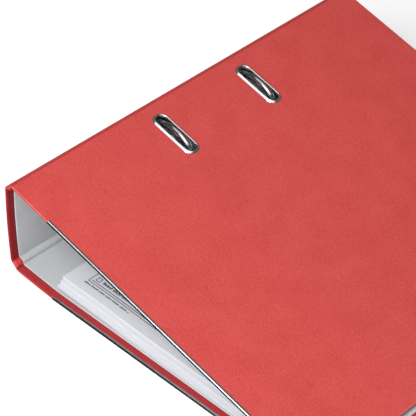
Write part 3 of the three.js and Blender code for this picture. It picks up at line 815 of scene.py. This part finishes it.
# The slot eyelet's rounded ridge, as (radius, height), from its outer foot over the top into the slot.
EYELET_RIDGE = [
    (SLOT_RIM, 0.05), (SLOT_RIM - 0.06, 0.16), (SLOT_RIM - 1.05, 0.93), (SLOT_RIM - 1.25, 1.04),
    (SLOT_RIM - 1.45, 1.08), (SLOT_RIM - 1.65, 1.05), (SLOT_RIM - 1.95, 0.88), (SLOT_RIM - 2.25, 0.5),
    (SLOT_HALF_OPENING, -0.1),
]


def slot_eyelets():
    """Two eyelets: a ridge outside, a tube through the cover, a lip rolled over inside, and a nib."""
    under = -LINING_END
    profile = [
        *EYELET_RIDGE,
        (SLOT_HALF_OPENING, -1.2),
        (SLOT_HALF_OPENING + 0.05, under - 0.25),
        (SLOT_HALF_OPENING + 0.35, under - 0.45),
        (SLOT_TUBE + 0.8, under - 0.3),
        (SLOT_TUBE + 1, under - 0.02),
        (SLOT_TUBE, under - 0.02),
        (SLOT_TUBE, 0.02),
    ]
    for y, side in zip(RING_YS, RING_NAMES):
        ring = rim_ring(f"slot_rim_{side}", FRONT, (SLOT_FROM_FOLD, y), profile, SLOT_STRAIGHT, 24, NICKEL)
        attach(ring, "front_cover")
        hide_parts(f"slot_eyelet_{side}")
        nib = slot_nib(f"slot_nib_{side}", y)
        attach(nib, "front_cover")


def slot_nib(name, y, steps=12):
    """Half-round lug on the slot's lower long side, which presses on the arch."""
    width, reach, root, shift = 2.3, 1.5, 0.4, 1
    turns = [math.pi * i / steps for i in range(steps + 1)]
    outline = [(width * math.cos(turn), reach * math.sin(turn)) for turn in turns]
    outline += [(-width, -root), (width, -root)]
    rows = [(0.35, 0.82), (0.15, 0.96), (-0.1, 1), (-1.5, 1), (-1.75, 0.9)]
    points = [
        on_run(FRONT, SLOT_FROM_FOLD + shift + a * scale, -height, y - SLOT_HALF_OPENING + b * scale)
        for height, scale in rows
        for a, b in outline
    ]
    return build(name, points, capped(len(rows), len(outline)), [NICKEL], sharp=50)


def finger_ring():
    """The finger hole's ring: domed outside, a tube through the spine, and a lip rolled over inside."""
    under = -LINING_END
    profile = [
        *dome(FINGER_HOLE, FINGER_RIM, 0.03, 0.9, 14),
        (FINGER_HOLE, -1.2),
        (FINGER_HOLE + 0.1, under - 0.2),
        (FINGER_HOLE + 0.6, under - 0.5),
        (FINGER_TUBE + 2.2, under - 0.45),
        (FINGER_TUBE + 2.6, under - 0.02),
        (FINGER_TUBE, under - 0.02),
        (FINGER_TUBE, 0.02),
    ]
    ring = rim_ring("finger_pull_ring", SPINE, FINGER_CENTRE, profile, 0, 40, NICKEL)
    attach(ring, "spine")
    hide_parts("finger_ring")


def flat_bar(run, low, high, depth, thickness=0.03):
    """Corners of thin bars that lie end to end on one run, between (distance, y) corners low and high."""
    pieces = math.ceil((high[0] - low[0]) / BAR_STEP)
    made = []
    for i in range(pieces):
        a0 = low[0] + (high[0] - low[0]) * i / pieces
        a1 = low[0] + (high[0] - low[0]) * (i + 1) / pieces
        corners = [(a0, low[1]), (a1, low[1]), (a1, high[1]), (a0, high[1])]
        made.append([on_run(run, a, d, b) for d in (depth, depth - thickness) for a, b in corners])
    return made


def bars(name, boxes, material):
    """Many thin bars as one piece; each is a list of eight corners."""
    points = [point for box in boxes for point in box]
    faces = [tuple(i + 8 * n for i in face) for n in range(len(boxes)) for face in BOX_FACES]
    return build(name, points, faces, [material])


def label_columns(start, end, steps=6):
    """Places along the spine for the label's columns, closer together at its rounded corners."""
    rounding = [LABEL_CORNER * (1 - math.cos(math.pi / 2 * i / steps)) for i in range(steps + 1)]
    straight = end - start - 2 * LABEL_CORNER
    middle = [start + LABEL_CORNER + straight * i / steps for i in range(1, steps)]
    return [*(start + a for a in rounding), *middle, *(end - a for a in reversed(rounding))]


def spine_label():
    """A blank card label with round corners and ruled lines, following the spine's bow."""
    low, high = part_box("spine_label")
    bottom, top = (low.y - ORIGIN.y) / MM, (high.y - ORIGIN.y) / MM
    start, end = ((corner.z - ORIGIN.z) / MM - FOLDS[1][1] for corner in (low, high))
    under, face = LABEL_HEIGHTS
    columns = label_columns(start, end)
    points = []
    for column in columns:
        reach = min(column - start, end - column, LABEL_CORNER)
        drop = math.sqrt(max(LABEL_CORNER ** 2 - (LABEL_CORNER - reach) ** 2, 0.0001))
        cut_back = LABEL_CORNER - drop
        for b, height in ((bottom, under), (bottom, face), (top, face), (top, under)):
            inwards = cut_back if b == bottom else -cut_back
            points.append(on_run(SPINE, column, -height, b + inwards))
    label = build("spine_label_card", points, capped(len(columns), 4), [LABEL_PAPER])
    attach(label, "spine")
    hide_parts("spine_label")
    label_rules(start + LABEL_MARGIN, end - LABEL_MARGIN, bottom + LABEL_MARGIN, top - LABEL_MARGIN)


def label_rules(left, right, bottom, top):
    """A ruled frame on the label, with two blank fields across it."""
    surface = -LABEL_HEIGHTS[1]
    lines = []
    for side in (left, right - LABEL_RULE):
        lines += flat_bar(SPINE, (side, bottom), (side + LABEL_RULE, top), surface)
    for level in (bottom, bottom + 34, bottom + 46, top - 58, top - 46, top - LABEL_RULE):
        lines += flat_bar(SPINE, (left, level), (right, level + LABEL_RULE), surface)
    ruled = bars("spine_label_rules", lines, INK)
    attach(ruled, "spine")


# ---------- mechanism ----------
def tube(name, route, radii, sides, material):
    """A round bar along a route of file points, with its own radius at each point."""
    points = []
    across = Vector((0, 1, 0))
    for i, here in enumerate(route):
        before, after = route[max(i - 1, 0)], route[min(i + 1, len(route) - 1)]
        forward = (after - before).normalized()
        across = (across - forward * across.dot(forward)).normalized()
        other = forward.cross(across)
        for k in range(sides):
            turn = 2 * math.pi * k / sides
            points.append(here + (across * math.cos(turn) + other * math.sin(turn)) * radii[i])
    return build(name, points, capped(len(route), sides), [material], sharp=50)


def arch_wire():
    """One wire bent into both arches and the axis that they swing on."""
    ax, az = WIRE_AXIS
    half = (POST_X - ax) / 2
    steps, corner_steps = 40, 8

    def half_route(y, inward):
        route = [Vector((POST_X, y, POST_TOP + rise)) for rise, _ in WIRE_TIP]
        for i in range(2, steps + 1):
            turn = math.pi * i / steps
            rise = ARCH_RISE * math.sin(turn)
            route.append(Vector((ax + half * (1 + math.cos(turn)), y, ARCH_SPRING_Z + rise)))
        for i in range(corner_steps + 1):
            turn = math.pi / 2 * i / corner_steps
            across = inward * WIRE_CORNER * (1 - math.cos(turn))
            route.append(Vector((ax, y + across, az + WIRE_CORNER * (1 - math.sin(turn)))))
        return route

    route = [*half_route(RING_YS[0], 1), *reversed(half_route(RING_YS[1], -1))]
    radii = [WIRE_RADIUS] * len(route)
    for i, (_, radius) in enumerate(WIRE_TIP):
        radii[i] = radius
        radii[-1 - i] = radius
    # The wire takes the darker nickel copy, painted shade.
    wire = tube("arch_wire_rod", route, radii, 28, WIRE_NICKEL_PAINTED_SHADE)
    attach(wire, "arches")
    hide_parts("arch_wire")


def circle(x, y, radius, sides, direction=1):
    """Points round a circle, anticlockwise unless direction is -1."""
    turns = [direction * 2 * math.pi * k / sides for k in range(sides)]
    return [(x + radius * math.cos(turn), y + radius * math.sin(turn)) for turn in turns]


def turned(name, profile, centre, material, sides=32):
    """A (radius, height) profile, from end to end, turned about a vertical line at (x, y)."""
    points = [(a, b, height) for radius, height in profile for a, b in circle(*centre, radius, sides)]
    return build(name, points, capped(len(profile), sides), [material], sharp=50)


def posts():
    """Two straight posts with a collar at the foot and a rounded end that meets the arch."""
    for y, side in zip(RING_YS, RING_NAMES):
        low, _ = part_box(f"post_{side}")
        foot = (low.z - ORIGIN.z) / MM
        profile = [
            (2.5, foot),
            (2.7, foot + 0.15),
            (2.7, foot + 0.45),
            (2.45, foot + 0.75),
            (WIRE_RADIUS, foot + 1),
            (WIRE_RADIUS, POST_TOP - 0.6),
            (2.1, POST_TOP - 0.2),
            (1.8, POST_TOP - 0.05),
            (1.5, POST_TOP),
        ]
        post = turned(f"post_{side}_rod", profile, (POST_X, y), NICKEL)
        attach(post, "back_cover")
        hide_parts(f"post_{side}")


def dress_cad(node, material, bevel=0.12):
    """A CAD node that keeps its own shape: softened edges and a finished material."""
    piece = frame["nodes"][node]
    piece.data.materials.clear()
    piece.data.materials.append(material)
    piece.data.polygons.foreach_set("use_smooth", [True] * len(piece.data.polygons))
    weld = piece.modifiers.new("weld", "WELD")
    weld.merge_threshold = 1e-6
    soften = piece.modifiers.new("soften", "BEVEL")
    soften.width = bevel * MM
    soften.segments = 2
    soften.limit_method = "ANGLE"
    soften.angle_limit = math.radians(38)
    soften.harden_normals = True


# ---------- papers ----------
def sheet_drop(x):
    """How far the sheets have sunk at x, between the base plate's edge and the lining."""
    start, end = SHEET_BEND
    t = min(max((x - start) / (end - start), 0), 1)
    return -SHEET_DROP * t * t * (3 - 2 * t)


def punched_sheet(corner, low, high):
    """One A4 sheet with two punched holes, sinking beyond the base plate: its points and faces."""
    x, y = corner
    far_y = y + SHEET_HEIGHT
    start, end = SHEET_BEND
    steps, sides = 12, 14
    holes = [circle(POST_X, ring_y, PUNCH_RADIUS, sides, direction=-1) for ring_y in RING_YS]
    rings = [[(x, y), (start, y), (start, far_y), (x, far_y)], *holes]
    bends = [start + (end - start) * i / steps for i in range(1, steps + 1)]
    columns = [(a, b) for a in (*bends, x + SHEET_WIDTH) for b in (y, far_y)]
    flat = [point for ring in rings for point in ring] + columns
    count = len(flat)
    points = [(a, b, z + sheet_drop(a)) for z in (low, high) for a, b in flat]
    triangles = tessellate_polygon([[Vector((a, b, 0)) for a, b in ring] for ring in rings])
    faces = [tuple(triangle) for triangle in triangles]
    faces += [tuple(i + count for i in reversed(triangle)) for triangle in triangles]
    # Each edge of the outline and of the holes gets a face between the sheet's two sides.
    edges = [(0, 1), (2, 3), (3, 0)]
    first = len(rings[0])
    for ring in rings[1:]:
        edges += [(first + i, first + (i + 1) % sides) for i in range(sides)]
        first += sides
    # Beyond the flat part the sheet goes on column by column, from its edge at points 1 and 2.
    near, far = 1, 2
    for i in range(steps + 1):
        next_near, next_far = first + 2 * i, first + 2 * i + 1
        faces.append((near, next_near, next_far, far))
        faces.append((near + count, far + count, next_far + count, next_near + count))
        edges += [(near, next_near), (next_far, far)]
        near, far = next_near, next_far
    edges.append((near, far))
    faces += [(a, b, b + count, a + count) for a, b in edges]
    return points, faces


def papers():
    """Three blocks of loose sheets, each sheet a hair out of line with the next."""
    jitter = random.Random(7)
    for name in ("bottom", "middle", "top"):
        low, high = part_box(f"paper_block_{name}")
        corner = ((low.x - ORIGIN.x) / MM, (low.y - ORIGIN.y) / MM)
        base, top = (low.z - ORIGIN.z) / MM + SHEET_DROP, (high.z - ORIGIN.z) / MM
        pitch = (top - base) / SHEETS_PER_BLOCK
        points, faces = [], []
        for number in range(SHEETS_PER_BLOCK):
            sheet_corner = [c + jitter.uniform(-drift, drift) for c, drift in zip(corner, SHEET_DRIFT)]
            if number == SHEETS_PER_BLOCK - 1:
                sheet_corner = corner
            start = len(points)
            z = base + number * pitch
            more, sides = punched_sheet(sheet_corner, z, z + pitch * SHEET_SHARE)
            points += more
            faces += [tuple(i + start for i in face) for face in sides]
        # Sheet faces take the darker paper copy, painted shade; edges take the lighter streaked copy, painted
        # light with painted shade between sheets.
        block = build(f"paper_sheets_{name}", points, faces, [PAPER_PAINTED_SHADE, PAPER_EDGES_PAINTED_LIGHT_AND_SHADE])
        edge_index = [int(abs(face.normal.z) < 0.5) for face in block.data.polygons]
        block.data.polygons.foreach_set("material_index", edge_index)
        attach(block, "back_cover")
        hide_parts(f"paper_block_{name}")


def printed_form():
    """A plain form on the top sheet: a frame, rows with a tick box, and bars for the wording."""
    _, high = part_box("paper_block_top")
    level = (high.z - ORIGIN.z) / MM
    under, face = level - 0.01, level + 0.05
    left, bottom, right, top = 53.9, 21.4, 232, 290
    line, frame_gap = 0.5, 1.8
    row_pitch, box_size = 8.6, 3.8
    boxes = []
    marks = random.Random(11)

    def bar(x0, y0, x1, y1):
        pieces = math.ceil((x1 - x0) / BAR_STEP)
        for i in range(pieces):
            a0, a1 = (x0 + (x1 - x0) * k / pieces for k in (i, i + 1))
            corners = [(a0, y0), (a1, y0), (a1, y1), (a0, y1)]
            boxes.append([(x, y, z + sheet_drop(x)) for z in (under, face) for x, y in corners])

    def frame_lines(x0, y0, x1, y1):
        bar(x0, y0, x1, y0 + line)
        bar(x0, y1 - line, x1, y1)
        bar(x0, y0 + line, x0 + line, y1 - line)
        bar(x1 - line, y0 + line, x1, y1 - line)

    def wording(x, y, size, count, word, widths, gap):
        """A row of count bars of random widths and heights, with every word-th one left out."""
        lowest, spread = size
        for number in range(count):
            width = marks.uniform(*widths)
            if number % word != word - 1:
                bar(x, y, x + width, y + lowest + marks.uniform(0, spread))
            x += width + gap

    frame_lines(left, bottom, right, top)
    bar(left + frame_gap, bottom + frame_gap, right - frame_gap, bottom + frame_gap + line)
    for row in range(30):
        y = bottom + 3.6 + row * row_pitch
        frame_lines(left + 3.4, y, left + 3.4 + box_size, y + box_size)
        wording(left + 9.6, y + 0.7, (1.2, 1.3), marks.randint(36, 70), 8, (0.4, 1.1), 0.3)
    wording(left - 0.8, bottom - 2.7, (0.8, 0.6), 56, 9, (0.3, 0.8), 0.22)
    form = bars("printed_form", boxes, INK)
    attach(form, "back_cover")


# ---------- stage ----------
def soft_light(name, position, aim, size, watts):
    """A rectangular light; position, aim and size are in metres in the row frame."""
    data = bpy.data.lights.new(name, "AREA")
    data.shape = "RECTANGLE"
    data.size, data.size_y = size
    data.energy = watts
    light = bpy.data.objects.new(name, data)
    light.location = position
    light.rotation_euler = (Vector(aim) - Vector(position)).to_track_quat("-Z", "Y").to_euler()
    bpy.context.scene.collection.objects.link(light)


def dim_world():
    """A cool, dim surround that is darker below the horizon than above it."""
    world = bpy.data.worlds.new("studio")
    world.use_nodes = True
    tree = world.node_tree
    background = tree.nodes["Background"]
    background.inputs["Color"].default_value = rgb(0.95, 0.97, 1)
    direction = add_node(tree, "ShaderNodeTexCoord").outputs["Generated"]
    height = add_node(tree, "ShaderNodeSeparateXYZ", {"Vector": direction}).outputs["Z"]
    below, above = 0.04, 0.16
    tree.links.new(remap(tree, height, -0.1, 0.1, below, above), background.inputs["Strength"])
    bpy.context.scene.world = world


def pale_floor():
    """A white ground just below the file, which its bright metal doesn't mirror."""
    material, tree, surface = blank_material("pale_floor", 0.9, specular=0.0)
    tone = remap(tree, noise(tree, 20, 2), 0.3, 0.7)
    colour = mix_colour(tree, tone, rgb(0.94, 0.94, 0.94), rgb(0.96, 0.96, 0.96))
    tree.links.new(colour, surface.inputs["Base Color"])
    surface.inputs["Emission Color"].default_value = rgb(1, 1, 1)
    surface.inputs["Emission Strength"].default_value = 0.25
    mesh = bpy.data.meshes.new("floor")
    reach, gap = 6.0, 0.0002
    level = CAD_BOX[0].z - gap
    corners = [(-reach, -reach, level), (reach, -reach, level), (reach, reach, level), (-reach, reach, level)]
    mesh.from_pydata(corners, [], [(0, 1, 2, 3)])
    mesh.materials.append(material)
    floor = bpy.data.objects.new("floor", mesh)
    bpy.context.scene.collection.objects.link(floor)
    floor.visible_glossy = False


def studio():
    """A dim surround, a broad light overhead, a smaller one in front, and a white ground."""
    dim_world()
    bpy.context.scene.view_settings.view_transform = "Standard"
    soft_light("overhead", (0.25, -0.38, 1.0), (0.25, -0.38, 0), size=(1.7, 1.1), watts=8.3)
    soft_light("front", (0.28, -1.17, 1.08), (-0.05, -0.1, 0.03), size=(1.0, 1.0), watts=20)
    pale_floor()


def camera():
    """A long lens that looks down at the corner between the spine and the bottom edge."""
    azimuth, elevation, roll = (math.radians(a) for a in (44.991, 39.937, 0.116))
    level = math.cos(elevation)
    back = Vector((math.sin(azimuth) * level, -math.cos(azimuth) * level, math.sin(elevation)))
    right = Vector((math.cos(azimuth), math.sin(azimuth), 0))
    up = back.cross(right)
    turned_right = right * math.cos(roll) + up * math.sin(roll)
    turned_up = up * math.cos(roll) - right * math.sin(roll)
    data = bpy.data.cameras.new("camera")
    data.sensor_width = 36
    data.lens = 173.756
    made = bpy.data.objects.new("camera", data)
    turn = Matrix((turned_right, turned_up, back)).transposed().to_4x4()
    made.matrix_world = Matrix.Translation((0.664396, -0.780932, 0.899342)) @ turn
    bpy.context.scene.collection.objects.link(made)
    bpy.context.scene.camera = made


STEEL_NODES = ("base_plate", "leaf_spring", "crank_tongue", "lever_pin", "roller_pin", "lever_roller")
RIVET_NODES = [node for node in frame["nodes"] if node.startswith("rivet_")]

studio()
camera()
case()
rail("front_rail_strip", "front_edge_rail", "front_cover", FRONT, RAIL_FRONT_SPAN, 0.9)
rail("back_rail_strip", "back_edge_rail", "back_cover", BACK, RAIL_BACK_SPAN, 0.6)
slot_eyelets()
finger_ring()
spine_label()
arch_wire()
posts()
papers()
printed_form()
for node in (*STEEL_NODES, *RIVET_NODES):
    dress_cad(node, STEEL)
dress_cad("lever", NICKEL)
